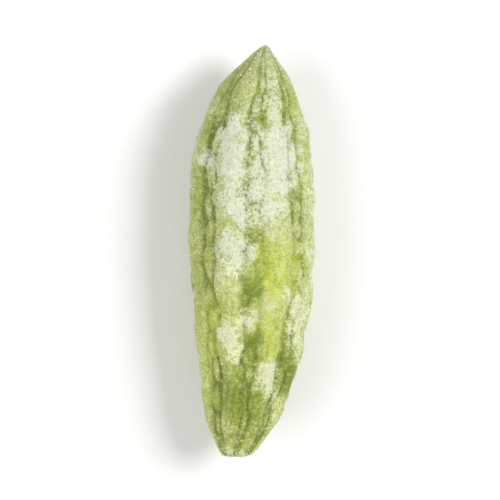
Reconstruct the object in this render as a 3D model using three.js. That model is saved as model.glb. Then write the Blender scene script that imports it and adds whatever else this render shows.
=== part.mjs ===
// A bitter gourd: one whole fruit, its stalk trimmed off, lying on its side.
// Millimetres. +Z is up, +Y runs from the trimmed stalk end to the pointed tip.
// The origin is on the surface it lies on, under the middle of its outline.
// The fruit grew as one piece, so it is one closed solid. Its skin is a core with
// broad ridges from end to end, and rows of long warts in the furrows between them.
import * as THREE from "three";

// Overall form
const gourdLength = 168;
const bellyRadius = 23.8; // of the core, down in the furrows
const tallness = 0.95; // height over width: it is a little pressed
const tipTaper = 76; // length over which it narrows to the tip
const tipFullness = 3.1;
const tipRadius = 0.8;
const stalkFullness = 1.8;
const cutRadius = 5.2; // of the trimmed stalk end
const cutDish = 0.7; // how far the cut face sinks in
const cutEdge = 0.6; // rounding round the cut face
const tipBend = 5.5; // the tip leans to one side
const stalkBend = 6.5; // and the stalk end to the other
const upwardBend = 1.6;

// Skin relief
const ridgeAngles = [-23, 23, 66, 112, 157, 203, 248, 292]; // degrees from the top, towards +X
const ridgeHeight = 2.7;
const ridgeShare = 0.33; // half a ridge's width, as a share of the step to the next one
const ridgeSwell = 0.26;
const ridgeWander = 3.2; // degrees
const ridgeTwist = 7; // degrees from end to end
const rowWobble = 0.05; // to the sides, as a share of the step from ridge to ridge
const stretchWobble = 0.8; // lengthwise
const wartHeight = 1.9;
const beadHeight = 1.5;
const bumpRoundness = 0.72;
const blendPower = 3.5; // high keeps the creases between bumps sharp
const endFade = 15; // length at each end over which the relief dies out
const endRelief = 0.25; // share of the relief left at the very ends
const lumpiness = 0.35;
const seed = 20117;

// Mesh and rest
const columnsPerRidge = 11;
const bodyRings = 62;
const ringEase = 0.2; // rings lie closer together towards the ends
const footDepth = 0.9; // how much of the two lowest ridges is pressed flat
const contactPoints = 24; // points a side that share the load while it settles
const settlingPasses = 4;

const ridgeCount = ridgeAngles.length;
const columns = ridgeCount * columnsPerRidge;
const fullTurn = 2 * Math.PI;
const radians = Math.PI / 180;

// A seeded draw, the same on every run
let drawState = seed;
function draw(low, high) {
  drawState = (drawState * 16807) % 2147483647;
  return low + ((high - low) * drawState) / 2147483647;
}

function smoothRise(x) {
  const t = Math.min(Math.max(x, 0), 1);
  return t * t * (3 - 2 * t);
}

// Radius of the core at a distance from the stalk end: a rounded cone up to
// the belly, then full shoulders that run in to the pointed tip.
function coreRadius(along) {
  const fromTip = gourdLength - along;
  if (fromTip < tipTaper) {
    const closed = Math.pow(1 - fromTip / tipTaper, tipFullness);
    return bellyRadius - (bellyRadius - tipRadius) * closed;
  }
  const toBelly = Math.pow(1 - along / (gourdLength - tipTaper), stalkFullness);
  const cut = cutRadius / bellyRadius;
  return bellyRadius * Math.sqrt(1 - toBelly * (1 - cut * cut));
}

// Each ridge has its own slow wander to the side and its own swellings.
const ridges = ridgeAngles.map((angle) => ({
  angle,
  wanderPhase: draw(0, fullTurn),
  wanderTurns: draw(1.1, 2.1),
  swellPhase: draw(0, fullTurn),
  swellTurns: draw(4.5, 7.5),
  rippleTurns: draw(11, 15),
  height: draw(0.9, 1.1),
}));

function ridgeAngle(index, along) {
  const ridge = ridges[index % ridgeCount];
  const share = along / gourdLength;
  const wander = ridgeWander * Math.sin(ridge.wanderPhase + fullTurn * ridge.wanderTurns * share);
  const turns = Math.floor(index / ridgeCount);
  return (ridge.angle + 360 * turns + wander + ridgeTwist * (share - 0.5)) * radians;
}

// Around the gourd a place is a number from 0 to ridgeCount: whole on a crest,
// and half way between two whole numbers in the bottom of a furrow.
function angleOf(around, along) {
  const index = Math.floor(around);
  const here = ridgeAngle(index, along);
  return here + (around - index) * (ridgeAngle(index + 1, along) - here);
}

// Long warts stand in a row in each furrow, and small beads on the ridges' flanks.
const bumps = [];
for (let furrow = 0; furrow < ridgeCount; furrow++) {
  let along = draw(7, 12);
  while (along < gourdLength - 10) {
    const halfLength = draw(3.4, 4.6) * draw(1, 2);
    along += halfLength;
    bumps.push({
      around: furrow + 0.5 + draw(-0.07, 0.07),
      along,
      halfWidth: draw(0.12, 0.19),
      halfLength,
      height: wartHeight * draw(0.65, 1.15),
    });
    along += halfLength * draw(0.7, 1.02);
  }
  along = draw(12, 20);
  while (along < gourdLength - 16) {
    const side = draw(0, 1) < 0.5 ? -1 : 1;
    bumps.push({
      around: furrow + 0.5 + side * draw(0.17, 0.27),
      along,
      halfWidth: draw(0.08, 0.14),
      halfLength: draw(2, 4.8),
      height: beadHeight * draw(0.8, 1.35),
    });
    along += draw(4, 12);
  }
}

function ridgeRelief(around, along) {
  const index = Math.round(around);
  const ridge = ridges[(index + ridgeCount) % ridgeCount];
  const share = along / gourdLength;
  const swell = Math.sin(ridge.swellPhase + fullTurn * ridge.swellTurns * share);
  const ripple = Math.sin(2 * ridge.swellPhase + fullTurn * ridge.rippleTurns * share);
  const halfWidth = ridgeShare * (1 + 0.5 * ridgeSwell * swell);
  const across = (around - index) / halfWidth;
  if (Math.abs(across) >= 1) return 0;
  const crest = ridgeHeight * ridge.height * (1 + ridgeSwell * (0.6 * swell + 0.4 * ripple));
  return crest * Math.pow(1 - across * across, bumpRoundness);
}

function bumpRelief(bump, around, along) {
  let offset = Math.abs(around - bump.around);
  offset = Math.min(offset, ridgeCount - offset);
  const reach = Math.hypot(offset / bump.halfWidth, (along - bump.along) / bump.halfLength);
  return reach >= 1 ? 0 : bump.height * Math.pow(1 - reach * reach, bumpRoundness);
}

// The rows don't run straight: each spot takes its relief from a little to the side.
function relief(plainAround, plainAlong) {
  const turn = (fullTurn * plainAround) / ridgeCount;
  const waves = 0.6 * Math.sin(3 * turn + plainAlong / 5.3) + 0.4 * Math.sin(7 * turn - plainAlong / 3.1);
  const around = plainAround + rowWobble * waves;
  const along = plainAlong + stretchWobble * Math.sin(5 * turn + plainAlong / 8.7);
  let total = Math.pow(ridgeRelief(around, along), blendPower);
  for (const bump of bumps) total += Math.pow(bumpRelief(bump, around, along), blendPower);
  const inside = smoothRise(plainAlong / endFade) * smoothRise((gourdLength - plainAlong) / endFade);
  const slim = Math.pow(coreRadius(plainAlong) / bellyRadius, 0.6);
  return Math.pow(total, 1 / blendPower) * (endRelief + (1 - endRelief) * inside) * slim;
}

function skinPoint(around, along, radius, reliefShare) {
  const angle = angleOf(around, along);
  const share = (2 * along) / gourdLength - 1;
  const sideways = share > 0 ? tipBend * share ** 5 : stalkBend * share ** 3;
  const lump = lumpiness * Math.sin(3 * angle + 5 * share) * Math.sin(2.3 * share + 1);
  const out = radius + reliefShare * (relief(around, along) + lump);
  return new THREE.Vector3(
    sideways + out * Math.sin(angle),
    along,
    upwardBend * share ** 2 + tallness * out * Math.cos(angle),
  );
}

// Rings of points from the stalk end to the tip, each [distance, radius, share of relief]
const tipCap = 0.25; // the last ring's distance from the tip
const rings = [
  [cutDish * 0.8, cutRadius * 0.5, 0],
  [0, cutRadius * 0.88, 0],
];
for (let i = 0; i <= bodyRings; i++) {
  const even = i / bodyRings;
  const eased = even - (ringEase * Math.sin(fullTurn * even)) / fullTurn;
  const along = cutEdge + (gourdLength - cutEdge - 3 * tipCap) * eased;
  rings.push([along, coreRadius(along), 1]);
}
rings.push([gourdLength - tipCap, tipRadius * 0.6, 0]);

const points = [];
for (const [along, radius, share] of rings) {
  for (let column = 0; column < columns; column++) {
    points.push(skinPoint(column / columnsPerRidge, along, radius, share));
  }
}
points.push(skinPoint(0, cutDish, 0, 0), skinPoint(0, gourdLength, 0, 0));

// It rolls until a ridge on each side of its underside touches the surface,
// and the two ridges are pressed a little flat there.
function contactOn(side) {
  const lowest = points
    .filter((p) => Math.sign(p.x) === side)
    .sort((p, q) => p.z - q.z)
    .slice(0, contactPoints);
  const sum = lowest.reduce((total, p) => total.add(p), new THREE.Vector3());
  return sum.divideScalar(contactPoints);
}
const longAxis = new THREE.Vector3(0, 1, 0);
for (let pass = 0; pass < settlingPasses; pass++) {
  const left = contactOn(-1);
  const right = contactOn(1);
  const roll = Math.atan2(right.z - left.z, right.x - left.x);
  points.forEach((p) => p.applyAxisAngle(longAxis, roll));
}
const outline = new THREE.Box3().setFromPoints(points);
const middle = outline.getCenter(new THREE.Vector3());
for (const p of points) {
  p.x -= middle.x;
  p.y -= middle.y;
  p.z = Math.max(p.z - outline.min.z - footDepth, 0);
}

// Faces: each square is split along whichever diagonal stands further out.
const faces = [];
const stalkPole = points.length - 2;
const tipPole = points.length - 1;
const heightOfAxis = middle.z - outline.min.z;
const fromAxis = (p) => Math.hypot(p.x, p.z - heightOfAxis);
const halfWay = (p, q) => p.clone().add(q).multiplyScalar(0.5);
for (let ring = 0; ring < rings.length - 1; ring++) {
  for (let column = 0; column < columns; column++) {
    const next = (column + 1) % columns;
    const a = ring * columns + column;
    const b = ring * columns + next;
    const c = a + columns;
    const d = b + columns;
    if (fromAxis(halfWay(points[a], points[d])) > fromAxis(halfWay(points[b], points[c]))) {
      faces.push(a, d, c, a, b, d);
    } else {
      faces.push(a, b, c, b, d, c);
    }
  }
}
const lastRing = (rings.length - 1) * columns;
for (let column = 0; column < columns; column++) {
  const next = (column + 1) % columns;
  faces.push(stalkPole, next, column);
  faces.push(tipPole, lastRing + column, lastRing + next);
}

const geometry = new THREE.BufferGeometry().setFromPoints(points);
geometry.setIndex(faces);
geometry.computeVertexNormals();

const skin = new THREE.MeshStandardMaterial({ color: 0x9db14f, roughness: 0.55, metalness: 0 });
const gourd = new THREE.Mesh(geometry, skin);
gourd.name = "bitter_gourd";

const model = new THREE.Group();
model.add(gourd);

export default model;
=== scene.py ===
import math

import bpy
import numpy as np
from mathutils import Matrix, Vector, noise


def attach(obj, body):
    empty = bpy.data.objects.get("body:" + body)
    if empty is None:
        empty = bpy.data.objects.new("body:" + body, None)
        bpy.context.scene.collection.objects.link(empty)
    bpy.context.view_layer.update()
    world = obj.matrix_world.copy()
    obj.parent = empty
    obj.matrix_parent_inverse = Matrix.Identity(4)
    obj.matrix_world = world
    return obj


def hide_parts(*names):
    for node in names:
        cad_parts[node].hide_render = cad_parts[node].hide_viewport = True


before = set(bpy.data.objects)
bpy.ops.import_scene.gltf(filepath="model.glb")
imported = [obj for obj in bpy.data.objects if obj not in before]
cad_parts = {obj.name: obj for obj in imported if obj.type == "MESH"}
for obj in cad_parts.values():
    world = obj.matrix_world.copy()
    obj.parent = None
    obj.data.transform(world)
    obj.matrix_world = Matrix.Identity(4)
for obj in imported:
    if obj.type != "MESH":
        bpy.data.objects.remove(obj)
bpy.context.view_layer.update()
scene = bpy.context.scene
fullTurn = 2 * math.pi
print("frame loaded:", sorted(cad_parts))


def deselectAll():
    bpy.ops.object.select_all(action="DESELECT")


def smoothRise(x):
    # 0 below 0, 1 above 1, smooth between them
    t = np.clip(x, 0, 1)
    return t * t * (3 - 2 * t)


def noiseAt(places, size, shift):
    # smooth noise from -1 to 1, with lumps of about the given size; another shift gives other lumps
    step = Vector((shift, -2 * shift, shift / 2))
    return np.array([noise.noise(Vector(place) / size + step) for place in places])


# Shader graphs, written as sums

class Signal:
    def __init__(self, graph, socket):
        self.graph = graph
        self.socket = socket

    def math(self, operation, *others):
        return self.graph.node("ShaderNodeMath", {"operation": operation}, dict(enumerate((self, *others))))

    def __add__(self, other):
        return self.math("ADD", other)

    def __radd__(self, other):
        return self.math("ADD", other)

    def __sub__(self, other):
        return self.math("SUBTRACT", other)

    def __rsub__(self, other):
        return (self * -1) + other

    def __mul__(self, other):
        return self.math("MULTIPLY", other)

    def __rmul__(self, other):
        return self.math("MULTIPLY", other)

    def larger(self, other):
        return self.math("MAXIMUM", other)

    def clamped(self):
        return self.graph.node("ShaderNodeClamp", {}, {"Value": self})

    def rise(self, low, high):
        # 0 below low, 1 above high, smooth between them
        values = {"Value": self, "From Min": low, "From Max": high}
        return self.graph.node("ShaderNodeMapRange", {"interpolation_type": "SMOOTHSTEP"}, values)


class Graph:
    def __init__(self, name):
        self.material = bpy.data.materials.new(name)
        self.material.use_nodes = True
        self.tree = self.material.node_tree
        self.tree.nodes.clear()

    def node(self, kind, settings, values, output=0):
        made = self.tree.nodes.new(kind)
        for key, setting in settings.items():
            setattr(made, key, setting)
        for key, value in values.items():
            if isinstance(value, Signal):
                self.tree.links.new(value.socket, made.inputs[key])
            else:
                made.inputs[key].default_value = value
        return Signal(self, made.outputs[output])

    def place(self):
        return self.node("ShaderNodeTexCoord", {}, {}, "Object")

    def stretched(self, place, scale):
        return self.node("ShaderNodeMapping", {}, {"Vector": place, "Scale": scale})

    def grain(self, place, size, detail=3, contrast=2.2):
        # noise spread over 0 to 1, with lumps of about the given size in metres
        values = {"Vector": place, "Scale": 1 / size, "Detail": detail}
        plain = self.node("ShaderNodeTexNoise", {}, values)
        return ((plain - 0.5) * contrast + 0.5).clamped()

    def granules(self, place, size, amount):
        # round spots about the given size apart, one in each cell where the amount allows it,
        # and a random brightness for each cell; noise moves the cells out of line
        waver = self.node("ShaderNodeTexNoise", {}, {"Vector": place, "Scale": 0.9 / size}, "Color")
        reach = {"Vector": waver, "Scale": 1.3 * size}
        spread = self.node("ShaderNodeVectorMath", {"operation": "SCALE"}, reach)
        moved = self.node("ShaderNodeVectorMath", {"operation": "ADD"}, {0: place, 1: spread})
        cells = {"Vector": moved, "Scale": 1 / size}
        distance = self.node("ShaderNodeTexVoronoi", {}, cells, "Distance")
        coloured = Signal(self, distance.socket.node.outputs["Color"])
        chance = self.node("ShaderNodeSeparateColor", {}, {"Color": coloured}, "Red")
        brightness = self.node("ShaderNodeSeparateColor", {}, {"Color": coloured}, "Green")
        return (amount * 1.2 - chance).rise(0, 0.12) * (0.62 - distance).rise(0, 0.22), brightness

    def attribute(self, name):
        return self.node("ShaderNodeAttribute", {"attribute_name": name}, {}, "Fac")

    def mix(self, factor, first, second):
        return self.node("ShaderNodeMix", {"data_type": "RGBA"}, {0: factor, 6: first, 7: second}, 2)

    def finish(self, values):
        surface = self.node("ShaderNodeBsdfPrincipled", {}, values)
        self.tree.links.new(surface.socket, self.tree.nodes.new("ShaderNodeOutputMaterial").inputs["Surface"])
        return self.material


# The gourd's form is the CAD node's own, worked out finer
gourd = dict(
    length=0.168,
    bellyRadius=0.0238,  # of the core, down in the furrows
    tallness=0.95,  # height over width
    tipTaper=0.076,
    tipFullness=3.1,
    tipRadius=0.0008,
    tipCap=0.00025,  # the last ring's distance from the tip
    stalkFullness=1.8,
    cutRadius=0.0052,
    cutDish=0.0007,
    cutEdge=0.0006,
    cutRings=((0.4, 0.9), (0.75, 0.6), (0.9, 0.0)),  # shares of the cut's radius and of its dish
    tipBend=0.0055,
    stalkBend=0.0065,
    upwardBend=0.0016,
    ridgeAngles=(-23, 23, 66, 112, 157, 203, 248, 292),  # degrees from the top, towards +X
    ridgeHeight=0.0027,
    ridgeShare=0.33,  # half a ridge's width, as a share of the step to the next one
    ridgeSwell=0.26,
    ridgeWander=3.2,  # degrees
    ridgeTwist=7,  # degrees from end to end
    rowWobble=0.05,
    rowWaves=(0.0053, 0.0031),
    stretchWobble=0.0008,
    stretchWave=0.0087,
    bumpRoundness=0.72,
    blendPower=3.5,  # high keeps the creases between bumps sharp
    endFade=0.015,
    endRelief=0.25,
    lumpiness=0.00035,
    footDepth=0.0009,  # how much of the two lowest ridges is pressed flat
    seed=20117,  # the CAD node's own, so the bumps stand in the same places
    contactShare=240,  # while it settles, one point in so many bears it on each side
    settlingPasses=4,
    columns=384,
    rings=250,
    ringEase=0.2,  # rings lie closer together towards the ends
)
# Long warts stand in a row in each furrow: lengths in metres, widths as shares of a ridge's step
warts = dict(
    start=(0.007, 0.012),  # of the first one, from the stalk end
    stop=0.010,  # none starts nearer to the tip
    halfLength=(0.0034, 0.0046),
    stretch=(1, 2),
    offset=0.07,  # to either side of the furrow
    halfWidth=(0.12, 0.19),
    height=0.0019,
    heightShare=(0.65, 1.15),
    gap=(0.7, 1.02),  # from a wart's middle to the next one's start, as a share of its half length
)
# Small beads stand on the ridges' flanks
beads = dict(
    start=(0.012, 0.020),
    stop=0.016,  # none stands nearer to the tip
    offset=(0.17, 0.27),  # to one side of the furrow, drawn for each
    halfWidth=(0.08, 0.14),
    halfLength=(0.002, 0.0048),
    height=0.0015,
    heightShare=(0.8, 1.35),
    gap=(0.004, 0.012),
)
ridgeCount = len(gourd["ridgeAngles"])
# A seeded draw, the same on every run
drawFactor = 16807
drawPrime = 2147483647
drawState = gourd["seed"]


def draw(low, high):
    global drawState
    drawState = drawState * drawFactor % drawPrime
    return low + (high - low) * drawState / drawPrime


def coreRadius(along):
    fromTip = gourd["length"] - along
    closed = np.clip(1 - fromTip / gourd["tipTaper"], 0, 1) ** gourd["tipFullness"]
    tipSide = 1 - (1 - gourd["tipRadius"] / gourd["bellyRadius"]) * closed
    toBelly = np.clip(1 - along / (gourd["length"] - gourd["tipTaper"]), 0, 1) ** gourd["stalkFullness"]
    stalkSide = np.sqrt(1 - toBelly * (1 - (gourd["cutRadius"] / gourd["bellyRadius"]) ** 2))
    return gourd["bellyRadius"] * np.where(fromTip < gourd["tipTaper"], tipSide, stalkSide)


ridges = [
    dict(
        angle=angle,
        wanderPhase=draw(0, fullTurn),
        wanderTurns=draw(1.1, 2.1),
        swellPhase=draw(0, fullTurn),
        swellTurns=draw(4.5, 7.5),
        rippleTurns=draw(11, 15),
        height=draw(0.9, 1.1),
    )
    for angle in gourd["ridgeAngles"]
]


def ridgeAngle(index, along):
    ridge = ridges[index % ridgeCount]
    share = along / gourd["length"]
    wander = gourd["ridgeWander"] * np.sin(ridge["wanderPhase"] + fullTurn * ridge["wanderTurns"] * share)
    turns = index // ridgeCount
    return np.radians(ridge["angle"] + 360 * turns + wander + gourd["ridgeTwist"] * (share - 0.5))


def furrowBumps():
    # each bump's place round the gourd and along it, its half width, half length and height
    length = gourd["length"]
    bumps = []
    for furrow in range(ridgeCount):
        along = draw(*warts["start"])
        while along < length - warts["stop"]:
            halfLength = draw(*warts["halfLength"]) * draw(*warts["stretch"])
            along += halfLength
            around = furrow + 0.5 + draw(-warts["offset"], warts["offset"])
            halfWidth = draw(*warts["halfWidth"])
            height = warts["height"] * draw(*warts["heightShare"])
            bumps.append((around, along, halfWidth, halfLength, height))
            along += halfLength * draw(*warts["gap"])
        along = draw(*beads["start"])
        while along < length - beads["stop"]:
            side = -1 if draw(0, 1) < 0.5 else 1
            around = furrow + 0.5 + side * draw(*beads["offset"])
            halfWidth = draw(*beads["halfWidth"])
            halfLength = draw(*beads["halfLength"])
            height = beads["height"] * draw(*beads["heightShare"])
            bumps.append((around, along, halfWidth, halfLength, height))
            along += draw(*beads["gap"])
    return bumps


def ridgeRelief(around, along):
    share = along / gourd["length"]
    height = np.zeros(around.shape)
    nearest = np.floor(around + 0.5).astype(int)
    for index in range(-1, ridgeCount + 2):
        here = nearest == index
        ridge = ridges[index % ridgeCount]
        swell = np.sin(ridge["swellPhase"] + fullTurn * ridge["swellTurns"] * share[here])
        ripple = np.sin(2 * ridge["swellPhase"] + fullTurn * ridge["rippleTurns"] * share[here])
        halfWidth = gourd["ridgeShare"] * (1 + 0.5 * gourd["ridgeSwell"] * swell)
        dome = np.clip(1 - ((around[here] - index) / halfWidth) ** 2, 0, None) ** gourd["bumpRoundness"]
        swelling = 1 + gourd["ridgeSwell"] * (0.6 * swell + 0.4 * ripple)
        height[here] = gourd["ridgeHeight"] * ridge["height"] * swelling * dome
    return height


def relief(plainAround, plainAlong):
    # the rows don't run straight: each spot takes its relief from a little to the side
    turn = fullTurn * plainAround / ridgeCount
    firstWave, secondWave = gourd["rowWaves"]
    waves = 0.6 * np.sin(3 * turn + plainAlong / firstWave) + 0.4 * np.sin(7 * turn - plainAlong / secondWave)
    around = plainAround + gourd["rowWobble"] * waves
    along = plainAlong + gourd["stretchWobble"] * np.sin(5 * turn + plainAlong / gourd["stretchWave"])
    total = ridgeRelief(around, along) ** gourd["blendPower"]
    for bumpAround, bumpAlong, halfWidth, halfLength, height in furrowBumps():
        offset = np.abs(around - bumpAround)
        offset = np.minimum(offset, ridgeCount - offset)
        reach = (offset / halfWidth) ** 2 + ((along - bumpAlong) / halfLength) ** 2
        inside = reach < 1
        dome = (1 - reach[inside]) ** gourd["bumpRoundness"]
        total[inside] += (height * dome) ** gourd["blendPower"]
    return total ** (1 / gourd["blendPower"])


def reliefShare(along):
    # the relief dies out towards both ends and is lower where the gourd is slim
    ends = smoothRise(along / gourd["endFade"]) * smoothRise((gourd["length"] - along) / gourd["endFade"])
    slim = (coreRadius(along) / gourd["bellyRadius"]) ** 0.6
    return (gourd["endRelief"] + (1 - gourd["endRelief"]) * ends) * slim


def gourdPoints():
    # a row of points for each ring from the stalk end to the tip, then the two poles,
    # and how high in the relief each point stands
    length = gourd["length"]
    cutShares = np.array(gourd["cutRings"])
    cutCount = len(cutShares)
    even = np.linspace(0, 1, gourd["rings"] - cutCount - 2)
    eased = even - gourd["ringEase"] * np.sin(fullTurn * even) / fullTurn
    body = gourd["cutEdge"] + (length - gourd["cutEdge"] - 3 * gourd["tipCap"]) * eased
    along = np.concatenate([gourd["cutDish"] * cutShares[:, 1], body, [length - gourd["tipCap"]]])
    radius = coreRadius(along)
    radius[:cutCount] = gourd["cutRadius"] * cutShares[:, 0]
    radius[-1] = gourd["tipRadius"] * 0.6
    onSkin = np.ones(len(along))
    onSkin[:cutCount] = 0
    onSkin[-1] = 0
    around = np.arange(gourd["columns"]) * ridgeCount / gourd["columns"]
    height = relief(*np.meshgrid(around, along)) * onSkin[:, None]
    raised = height * reliefShare(along)[:, None]
    share = 2 * along / length - 1
    sideways = np.where(share > 0, gourd["tipBend"] * share**5, gourd["stalkBend"] * share**3)
    points = np.zeros((len(along), gourd["columns"], 3))
    for column, place in enumerate(around):
        index = int(np.floor(place))
        here = ridgeAngle(index, along)
        angle = here + (place - index) * (ridgeAngle(index + 1, along) - here)
        lump = gourd["lumpiness"] * np.sin(3 * angle + 5 * share) * np.sin(2.3 * share + 1)
        out = radius + raised[:, column] + onSkin * lump
        points[:, column, 0] = sideways + out * np.sin(angle)
        points[:, column, 1] = along
        points[:, column, 2] = gourd["upwardBend"] * share**2 + gourd["tallness"] * out * np.cos(angle)
    poles = np.array([
        [-gourd["stalkBend"], gourd["cutDish"], gourd["upwardBend"]],
        [gourd["tipBend"], length, gourd["upwardBend"]],
    ])
    return np.vstack([points.reshape(-1, 3), poles]), np.concatenate([height.ravel(), [0, 0]])


def laidDown(points):
    # rolled until a ridge on each side touches, then pressed a little flat there
    contactCount = len(points) // gourd["contactShare"]
    for settlingPass in range(gourd["settlingPasses"]):
        lowest = []
        for side in (-1, 1):
            half = points[np.sign(points[:, 0]) == side]
            lowest.append(half[np.argsort(half[:, 2])[:contactCount]].mean(0))
        left, right = lowest
        roll = math.atan2(right[2] - left[2], right[0] - left[0])
        turn = np.array([
            [math.cos(roll), 0, math.sin(roll)],
            [0, 1, 0],
            [-math.sin(roll), 0, math.cos(roll)],
        ])
        points = points @ turn.T
    low, high = points.min(0), points.max(0)
    points[:, :2] -= (low[:2] + high[:2]) / 2
    points[:, 2] = np.maximum(points[:, 2] - low[2] - gourd["footDepth"], 0)
    return points


def stepsOver(points):
    # the way from each point to the next one round the gourd and along it; the two poles have none
    rings = points[:-2].reshape(-1, gourd["columns"], 3)
    around = (np.roll(rings, -1, axis=1) - np.roll(rings, 1, axis=1)) / 2
    along = np.gradient(rings, axis=0)
    none = np.zeros((2, 3))
    return np.vstack([around.reshape(-1, 3), none]), np.vstack([along.reshape(-1, 3), none])


def makeSkin():
    # a ball whose points are moved to the gourd's, with each point's height in the relief,
    # its nearness to the middle of the cut face and its steps to the next points
    columns, rings = gourd["columns"], gourd["rings"]
    deselectAll()
    bpy.ops.mesh.primitive_uv_sphere_add(segments=columns, ring_count=rings, radius=1)
    made = bpy.context.object
    made.name = "gourd_skin"
    ball = pointsOf(made)
    ring = np.rint(np.arccos(np.clip(-ball[:, 2], -1, 1)) / math.pi * rings).astype(int)
    column = np.rint(np.arctan2(ball[:, 1], ball[:, 0]) / fullTurn * columns).astype(int) % columns
    points, height = gourdPoints()
    points = laidDown(points)
    source = (ring - 1) * columns + column
    source[ring == 0] = len(points) - 2
    source[ring == rings] = len(points) - 1
    made.data.vertices.foreach_set("co", points[source].ravel())
    made.data.update()
    raised = np.clip(height[source] / gourd["ridgeHeight"], 0, 1)
    inCut = np.clip(1 - ring / (len(gourd["cutRings"]) + 1), 0, 1)
    aroundSteps, alongSteps = stepsOver(points)
    return made, raised, inCut, aroundSteps[source], alongSteps[source]


def setAttribute(piece, name, values):
    piece.data.attributes.new(name, "FLOAT", "POINT").data.foreach_set("value", values)


def pointsOf(piece):
    flat = np.zeros(len(piece.data.vertices) * 3)
    piece.data.vertices.foreach_get("co", flat)
    return flat.reshape(-1, 3)


skin, crest, cutFace, aroundSteps, alongSteps = makeSkin()
normals = np.cross(aroundSteps, alongSteps)
areas = np.linalg.norm(normals, axis=1)
normals /= np.maximum(areas, 1e-12)[:, None]
print("skin shaped:", len(skin.data.vertices), "points")

# Frost lies in patches on the upper side: x, y, half width, half length, strength
frost = dict(
    patches=(
        (-0.0090, 0.0382, 0.0096, 0.0195, 0.90),
        (0.0100, 0.0365, 0.0100, 0.0190, 0.95),
        (-0.0010, 0.0195, 0.0160, 0.0125, 0.94),
        (-0.0005, 0.0360, 0.0050, 0.0200, 1.00),
        (-0.0086, -0.0014, 0.0086, 0.0125, 0.88),
        (-0.0032, -0.0262, 0.0056, 0.0040, 0.95),
        (-0.0104, -0.0342, 0.0040, 0.0092, 0.97),
        (-0.0072, -0.0424, 0.0044, 0.0036, 0.92),
        (0.0044, -0.0506, 0.0064, 0.0078, 1.02),
        (0.0170, -0.0270, 0.0062, 0.0210, 0.82),
        (0.0245, -0.0020, 0.0052, 0.0520, 0.63),
        (-0.0190, 0.0350, 0.0034, 0.0036, 1.05),
        (0.0095, -0.0640, 0.0040, 0.0050, 0.60),
        (-0.0060, -0.0840, 0.0100, 0.0055, 0.85),
        (-0.0080, -0.0720, 0.0110, 0.0065, 0.52),
        (0.0080, 0.0580, 0.0060, 0.0080, 0.54),
        (0.0050, 0.0790, 0.0060, 0.0085, 0.48),
    ),
    edge=1.35,  # width of a patch's fading rim, as a share of its half width
    ragged=0.0036,  # how far the rim wanders
    upperStart=-0.45,  # how far up the skin faces where the upper side begins, from -1 to 1
    upperRange=0.4,
    mottleSize=0.0045,  # of the patches
    film=0.49,  # thin frost all over
    filmSize=0.012,
    hiddenFrost=0.62,  # clouds of frost on the underside
    cloudSize=0.019,
    cloudRimSize=0.006,
    crust=0.00038,  # thickness
    crustStart=0.3,  # share of frost where the crust begins
    crustRange=0.5,
    lumpSize=0.0011,
    broadLumpSize=0.0030,
    crustClearance=0.0004,  # no crust below this height
    grains=18000,
    grainSize=(0.00014, 0.00036),
    grainPower=3.4,  # high keeps the grains on the thickest frost
    grainStandOff=0.35,  # of a grain's middle over the skin, as a share of its size
    grainStretch=(0.6, 1.3),  # along each of its axes
    grainClearance=0.0015,  # no grains below this height
    seed=7,
)
# Deeper and brighter greens on the upper side, as in the list above; some deep ones are painted shade
tones = dict(
    deep=(
        (-0.0052, -0.0600, 0.0110, 0.0150, 0.58),
        (-0.0068, -0.0596, 0.0056, 0.0070, 1.00),
        (0.0134, -0.0489, 0.0048, 0.0090, 1.00),
        (-0.0014, -0.0374, 0.0042, 0.0058, 0.95),
        (-0.0012, -0.0156, 0.0044, 0.0062, 0.95),
        (-0.0105, 0.0640, 0.0090, 0.0090, 0.30),
        # painted shade: a long darker strip down the left flank
        (-0.0220, 0.0130, 0.0052, 0.0380, 0.34),
        # painted crease: these small spots make a dark diagonal line with thinner frost, painted shade of a
        # crease that the relief doesn't have
        (0.0036, 0.0520, 0.0017, 0.0062, 0.46),
        (0.0014, 0.0455, 0.0018, 0.0062, 0.56),
        (-0.0010, 0.0390, 0.0019, 0.0062, 0.58),
        (-0.0033, 0.0325, 0.0019, 0.0062, 0.55),
    ),
    bright=(
        (0.0100, -0.0080, 0.0100, 0.0170, 1.00),
        (0.0070, -0.0330, 0.0058, 0.0100, 0.90),
        (-0.0180, -0.0350, 0.0050, 0.0170, 0.75),
    ),
    edge=1.1,
    ragged=0.003,
    deepStrength=1.12,
    deepStart=-0.1,  # the deep greens fade out down the flanks
    deepRange=0.5,
)
# Sizes of the noise that makes rims ragged, to the sides and lengthwise
rimSizes = ((0.006, 0.0022), (0.007, 0.0025))
# Each noise has a shift of its own, so that no two follow each other
shifts = dict(
    patches=3.0,
    lumps=5.0,
    broadLumps=6.0,
    clouds=20.0,
    cloudRims=21.0,
    film=30.0,
    mottle=40.0,
    deep=50.0,
    bright=60.0,
    lengthwise=9,  # added for the rims' second direction
)


def patchwork(points, spots, edge, ragged, shift):
    # the strongest of the spots at each point, with ragged rims
    wavered = points[:, :2].copy()
    for axis, (broad, narrow) in enumerate(rimSizes):
        own = shift + axis * shifts["lengthwise"]
        wavered[:, axis] += ragged * (noiseAt(points, broad, own) + 0.5 * noiseAt(points, narrow, own))
    found = np.zeros(len(points))
    for x, y, halfWidth, halfLength, strength in spots:
        reach = np.hypot((wavered[:, 0] - x) / halfWidth, (wavered[:, 1] - y) / halfLength)
        found = np.maximum(found, strength * smoothRise((1 + edge / 2 - reach) / edge))
    return found


def cloudsOver(points):
    broad = noiseAt(points, frost["cloudSize"], shifts["clouds"])
    narrow = noiseAt(points, frost["cloudRimSize"], shifts["cloudRims"])
    return smoothRise(0.5 + 1.3 * broad + 0.5 * narrow)


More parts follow.
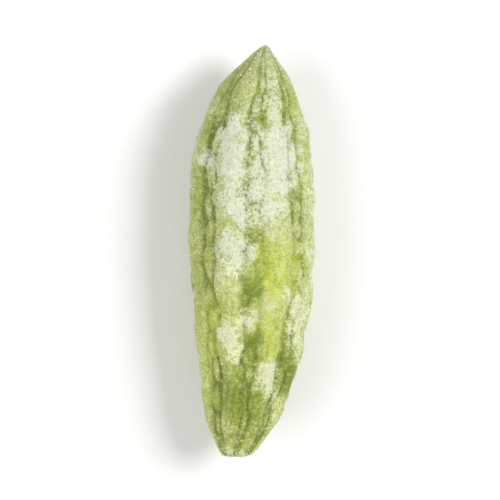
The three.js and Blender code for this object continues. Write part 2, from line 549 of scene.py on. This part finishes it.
def frostOver(points, upperSide, crest, deepTone, brightTone):
    # patches above, clouds below and a thin film all over, thicker on the ridges than in the furrows
    high = smoothRise(crest * 1.5)
    laid = patchwork(points, frost["patches"], frost["edge"], frost["ragged"], shifts["patches"])
    laid *= upperSide * (0.76 + 0.26 * high)
    laid *= 0.96 + 0.3 * noiseAt(points, frost["mottleSize"], shifts["mottle"])
    laid *= 1 - 0.5 * deepTone
    hidden = frost["hiddenFrost"] * cloudsOver(points) * (1 - upperSide)
    film = frost["film"] * (1 + 0.5 * noiseAt(points, frost["filmSize"], shifts["film"]))
    film *= (0.55 + 0.5 * high) * (1 - 0.95 * deepTone) * (1 - 0.25 * brightTone)
    return np.clip(np.maximum(np.maximum(laid, hidden), film), 0, 1)


def crustOver(points, frostAmount):
    narrow = noiseAt(points, frost["lumpSize"], shifts["lumps"])
    broad = noiseAt(points, frost["broadLumpSize"], shifts["broadLumps"])
    lumps = np.clip(0.5 + 0.9 * narrow + 0.5 * broad, 0, 1.4)
    crust = frost["crust"] * smoothRise((frostAmount - frost["crustStart"]) / frost["crustRange"]) * lumps
    crust[points[:, 2] < frost["crustClearance"]] = 0
    return crust


points = pointsOf(skin)
facingUp = normals[:, 2]
upperSide = smoothRise((facingUp - frost["upperStart"]) / frost["upperRange"])
deepTone = patchwork(points, tones["deep"], tones["edge"], tones["ragged"], shifts["deep"])
deepTone = smoothRise(tones["deepStrength"] * deepTone)
deepTone *= smoothRise((facingUp - tones["deepStart"]) / tones["deepRange"])
brightTone = patchwork(points, tones["bright"], tones["edge"], tones["ragged"], shifts["bright"]) * upperSide
frostAmount = frostOver(points, upperSide, crest, deepTone, brightTone)
crust = crustOver(points, frostAmount)
skin.data.vertices.foreach_set("co", (points + normals * crust[:, None]).ravel())
setAttribute(skin, "frost", frostAmount)
setAttribute(skin, "crest", crest)
setAttribute(skin, "deep", deepTone)
setAttribute(skin, "bright", brightTone)
setAttribute(skin, "cut", cutFace)
skin.data.update()
deselectAll()
skin.select_set(True)
bpy.context.view_layer.objects.active = skin
bpy.ops.object.shade_smooth()
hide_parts("bitter_gourd")
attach(skin, "root")
print("frost laid on the skin")

colours = dict(
    # painted shade: the furrows between ridges and warts take this dark green; it also draws the lengthwise
    # streaks
    furrow=(0.13, 0.165, 0.010, 1),
    skin=(0.34, 0.385, 0.055, 1),
    # partly painted highlight: ridge tops and warts are coloured lighter; partly the skin's own random mottle
    crest=(0.46, 0.495, 0.120, 1),
    # the skin's deeper green; also used for the painted shade strip and the painted crease line
    deep=(0.130, 0.188, 0.002, 1),
    bright=(0.48, 0.55, 0.030, 1),
    glint=(0.55, 0.61, 0.15, 1),
    tip=(0.345, 0.38, 0.15, 1),
    cut=(0.50, 0.50, 0.24, 1),
    cutHeart=(0.30, 0.27, 0.10, 1),
    cutFibres=(0.13, 0.17, 0.02, 1),
    thinFrost=(0.53, 0.59, 0.25, 1),
    creamFrost=(0.76, 0.78, 0.45, 1),
    whiteFrost=(0.73, 0.75, 0.60, 1),
    grain=(0.78, 0.81, 0.68, 1),
)
# Sizes of what is seen on the skin, and where along the gourd its look changes
pattern = dict(
    mottleSize=0.022,
    streakSize=0.0022,
    streakScale=(1, 0.22, 1),  # draws the streaks out lengthwise
    poreSize=0.0018,
    coarseSize=0.0034,
    fineSize=0.0011,
    fibreSize=0.0011,
    largeGranule=0.0012,
    smallGranule=0.0007,
    towardsTip=(0.045, 0.072),
    creamToWhite=(-0.03, 0.015),
    bumpDepth=0.0004,
)


def greenSkin(graph, place, nearTip, pores, coarse, fine):
    mottle = graph.grain(place, pattern["mottleSize"])
    streaks = graph.grain(graph.stretched(place, pattern["streakScale"]), pattern["streakSize"])
    raised = graph.attribute("crest")
    # painted shade in the furrows, low in the relief, fading out towards the tip
    green = graph.mix(raised.rise(0.02, 0.6).larger(nearTip * 0.65), colours["furrow"], colours["skin"])
    # ridge tops lighter: half painted highlight from the relief height, half random mottle
    green = graph.mix((raised.rise(0.5, 1) * 0.5 + mottle * 0.5 - 0.15).clamped(), green, colours["crest"])
    green = graph.mix(graph.attribute("bright") * (0.4 + 0.6 * pores), green, colours["bright"])
    # deeper greens, including the painted shade strip on the left flank and the painted crease line
    green = graph.mix(graph.attribute("deep") * (0.75 + 0.25 * streaks), green, colours["deep"])
    green = graph.mix((0.5 - coarse).clamped() * 0.65, green, colours["deep"])
    green = graph.mix((coarse - 0.5).clamped() * 0.5, green, colours["glint"])
    green = graph.mix((streaks - 0.45).clamped() * 0.6, green, colours["furrow"])
    green = graph.mix((fine - 0.5).clamped() * 0.6, green, colours["glint"])
    green = graph.mix((0.5 - fine).clamped() * 0.6, green, colours["deep"])
    return graph.mix(nearTip * 0.35, green, colours["tip"])


def cutOver(graph, place, green):
    # the trimmed stalk end: a pale face, a brown heart and a ring of darker fibres
    inCut = graph.attribute("cut")
    face = graph.mix(inCut.rise(0.15, 0.4), green, colours["cut"])
    face = graph.mix(inCut.rise(0.6, 0.9) * 0.7, face, colours["cutHeart"])
    ring = inCut.rise(0.3, 0.45) * (1 - inCut.rise(0.6, 0.75))
    fibres, fibreTone = graph.granules(place, pattern["fibreSize"], ring * 0.65)
    return graph.mix(fibres * (0.6 + 0.4 * fibreTone), face, colours["cutFibres"])


def makeSkinMaterial():
    graph = Graph("frostedSkin")
    place = graph.place()
    alongGourd = graph.node("ShaderNodeSeparateXYZ", {}, {"Vector": place}, "Y")
    pores = graph.grain(place, pattern["poreSize"])
    coarse = graph.grain(place, pattern["coarseSize"], detail=4, contrast=2.6)
    fine = graph.grain(place, pattern["fineSize"], contrast=3.0)
    green = greenSkin(graph, place, alongGourd.rise(*pattern["towardsTip"]), pores, coarse, fine)
    green = cutOver(graph, place, green)

    amount = graph.attribute("frost")
    thick = (amount - 0.12) * 1.1 + (coarse - 0.5) * 0.16
    large, sparkle = graph.granules(place, pattern["largeGranule"], thick * (0.45 + 0.75 * coarse))
    smallAmount = (thick * (0.45 + 0.9 * coarse)).larger(0.06)
    small, glimmer = graph.granules(place, pattern["smallGranule"], smallAmount)
    cloud = (coarse * 0.55 + fine * 0.45 - (1 - amount)).rise(-0.08, 0.30)
    flecks = (0.42 - fine).rise(0, 0.28) * (1.42 - amount).clamped()
    cover = large.larger(small * 0.95).larger(cloud) * (1 - flecks * 0.7)
    whiteness = (amount.rise(0.35, 0.85) * 0.7 + sparkle * 0.25 + glimmer * 0.2).clamped()
    whiter = alongGourd.rise(*pattern["creamToWhite"])
    thickFrost = graph.mix(whiter, colours["creamFrost"], colours["whiteFrost"])
    ice = graph.mix(whiteness, colours["thinFrost"], thickFrost)
    veil = amount.rise(0.25, 1.0) * 0.6 * (1 - flecks)
    surface = graph.mix((cover * (0.5 + 0.45 * amount)).larger(veil), green, ice)

    height = large * 0.5 + small * 0.3 + cloud * 0.4 + fine * 0.25 + pores * 0.3
    bump = {"Strength": 0.65, "Distance": pattern["bumpDepth"], "Height": height}
    return graph.finish({
        "Base Color": surface,
        "Roughness": 0.44 + 0.16 * pores + 0.25 * cover,
        "Coat Weight": (1 - cover) * 0.08,
        "Coat Roughness": 0.25,
        "Subsurface Weight": 0.12,
        "Subsurface Radius": (0.8, 1.0, 0.35),
        "Subsurface Scale": 0.004,
        "Normal": graph.node("ShaderNodeBump", {}, bump),
    })


skin.data.materials.append(makeSkinMaterial())
print("skin coloured")


def makeCrystal():
    # a four-sided pyramid, with the middle of its base drawn out to a second point
    deselectAll()
    bpy.ops.mesh.primitive_cone_add(vertices=4, radius1=1, radius2=0, depth=1, end_fill_type="TRIFAN")
    made = bpy.context.object
    points = pointsOf(made)
    middle = (np.hypot(points[:, 0], points[:, 1]) < 0.1) & (points[:, 2] < 0)
    points[:, 2] += 0.5
    points[middle, 2] = -1
    made.data.vertices.foreach_set("co", points.ravel())
    made.data.update()
    return made


def makeCrystalRow(count, apart):
    # copies of the crystal in one mesh, in a row upwards
    made = makeCrystal()
    made.name = "frost_grains"
    rows = made.modifiers.new("copies", "ARRAY")
    rows.count = count
    rows.use_relative_offset = False
    rows.use_constant_offset = True
    rows.constant_offset_displace = (0, 0, apart)
    bpy.ops.object.modifier_apply(modifier=rows.name)
    return made


def makeGrains():
    # small sharp crystals, more of them where the frost is thick
    random = np.random.default_rng(frost["seed"])
    count = frost["grains"]
    places = pointsOf(skin)
    thickness = frostAmount ** frost["grainPower"]
    thickness[places[:, 2] < frost["grainClearance"]] = 0
    weight = areas * thickness
    chosen = random.choice(len(places), count, p=weight / weight.sum())
    shift = random.random((2, count, 1)) - 0.5
    centre = places[chosen] + shift[0] * aroundSteps[chosen] + shift[1] * alongSteps[chosen]
    size = random.uniform(*frost["grainSize"], (count, 1))
    size *= 0.7 + 0.6 * random.random((count, 1)) ** 4  # a few are larger
    centre += normals[chosen] * size * frost["grainStandOff"]

    apart = 3  # more than a crystal is high
    made = makeCrystalRow(count, apart)
    shape = pointsOf(made).reshape(count, -1, 3)
    shape[:, :, 2] -= apart * np.arange(count)[:, None]
    axes = random.normal(size=(count, 2, 3))
    ahead = axes[:, 0] / np.linalg.norm(axes[:, 0], axis=1, keepdims=True)
    side = np.cross(ahead, axes[:, 1])
    side /= np.linalg.norm(side, axis=1, keepdims=True)
    turned = np.stack([ahead, side, np.cross(ahead, side)], axis=1)
    stretch = random.uniform(*frost["grainStretch"], (count, 1, 3))
    shape = np.einsum("nvi,nij->nvj", shape * stretch, turned) * size[:, None] + centre[:, None]
    made.data.vertices.foreach_set("co", shape.ravel())
    made.data.update()
    return made


def makeGrainMaterial():
    return Graph("frostGrain").finish({
        "Base Color": colours["grain"],
        "Roughness": 0.3,
        "Subsurface Weight": 0.4,
        "Subsurface Radius": (1.0, 1.0, 0.9),
        "Subsurface Scale": 0.0006,
    })


grains = makeGrains()
grains.data.materials.append(makeGrainMaterial())
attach(grains, "root")
print("frost grains:", len(grains.data.polygons), "faces")

stage = dict(
    floorSize=3,
    floorColour=(0.86, 0.86, 0.85, 1),
    floorHeight=-0.00015,
    keyPlace=(0.44, 0.10, 0.60),
    keySize=0.34,
    keyWatts=4.4,
    fillPlace=(-0.60, -0.15, 0.60),
    fillSize=0.7,
    fillWatts=4.4,
    roomStrength=0.38,
    cameraPlace=(-0.05, 0, 0.62),
    cameraDrop=0.60,  # down from the camera to the point it looks at, which is above the origin
    lens=105,
)


def makeFloor():
    deselectAll()
    bpy.ops.mesh.primitive_plane_add(size=stage["floorSize"], location=(0, 0, stage["floorHeight"]))
    floor = bpy.context.object
    floor.name = "floor"
    paper = Graph("palePaper")
    floor.data.materials.append(paper.finish({"Base Color": stage["floorColour"], "Roughness": 0.8}))


def makeLight(name, place, size, watts):
    # an area light that faces the origin
    light = bpy.data.lights.new(name, "AREA")
    light.size = size
    light.energy = watts
    lamp = bpy.data.objects.new(name, light)
    lamp.location = place
    lamp.rotation_euler = (-Vector(place)).to_track_quat("-Z", "Y").to_euler()
    scene.collection.objects.link(lamp)


def makeRoom():
    # white light from all sides
    world = bpy.data.worlds.new("softRoom")
    world.use_nodes = True
    background = world.node_tree.nodes["Background"]
    background.inputs["Color"].default_value = (1, 1, 1, 1)
    background.inputs["Strength"].default_value = stage["roomStrength"]
    scene.world = world


def makeCamera():
    # it looks almost straight down, leaning a little from the left
    camera = bpy.data.cameras.new("camera")
    camera.lens = stage["lens"]
    holder = bpy.data.objects.new("camera", camera)
    holder.location = stage["cameraPlace"]
    holder.rotation_euler = (0, -math.atan2(-stage["cameraPlace"][0], stage["cameraDrop"]), 0)
    scene.collection.objects.link(holder)
    scene.camera = holder


makeFloor()
makeLight("key", stage["keyPlace"], stage["keySize"], stage["keyWatts"])
makeLight("fill", stage["fillPlace"], stage["fillSize"], stage["fillWatts"])
makeRoom()
makeCamera()
scene.view_settings.view_transform = "Standard"
print("stage set")
